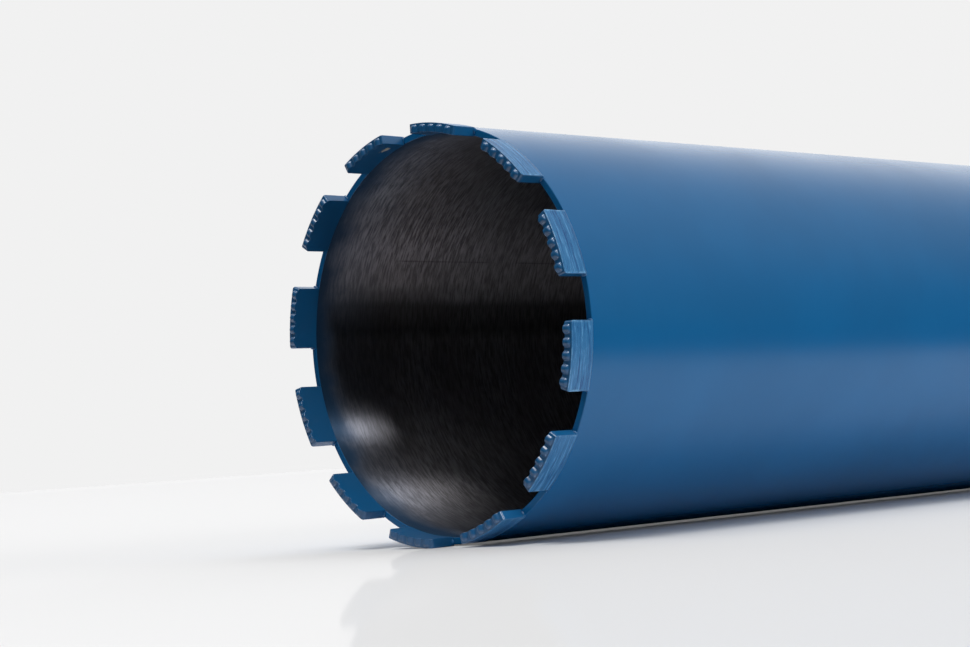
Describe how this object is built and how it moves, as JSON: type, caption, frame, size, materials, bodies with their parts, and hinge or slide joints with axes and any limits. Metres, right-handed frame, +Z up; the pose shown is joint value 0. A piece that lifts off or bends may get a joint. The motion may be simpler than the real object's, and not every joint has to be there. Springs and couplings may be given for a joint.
{
  "type": "diamond core bit",
  "caption": "Wet-drilling diamond core bit: a blue-painted steel tube with ridged diamond segments welded around its open rim and a threaded hub on its closed end.",
  "frame": {"origin": "on the bit's axis, at the hub's seating face and the mouth of its spindle thread", "axes": "+Y along the bit's axis, out of the hub towards the drill; the crown of segments faces -Y; +Z up as the bit lies on its side"},
  "size_m": [0.152, 0.492, 0.152],
  "materials": {
    "barrel_paint": "semi-gloss blue paint outside, bare brushed steel inside",
    "segment_paint": "semi-gloss blue paint over ground and sintered diamond segments",
    "plate_paint": "semi-gloss blue paint",
    "weld_paint": "blue paint over rippled weld metal",
    "hub_steel": "turned bare steel"
  },
  "bodies": {
    "root": {"barrel": "barrel_paint", "end_plate": "plate_paint", "hub": "hub_steel", "plate_weld": "weld_paint", "hub_weld": "weld_paint", "segment_01": "segment_paint", "segment_02": "segment_paint", "segment_03": "segment_paint", "segment_04": "segment_paint", "segment_05": "segment_paint", "segment_06": "segment_paint", "segment_07": "segment_paint", "segment_08": "segment_paint", "segment_09": "segment_paint", "segment_10": "segment_paint", "segment_11": "segment_paint", "segment_12": "segment_paint"}
  },
  "joints": []
}
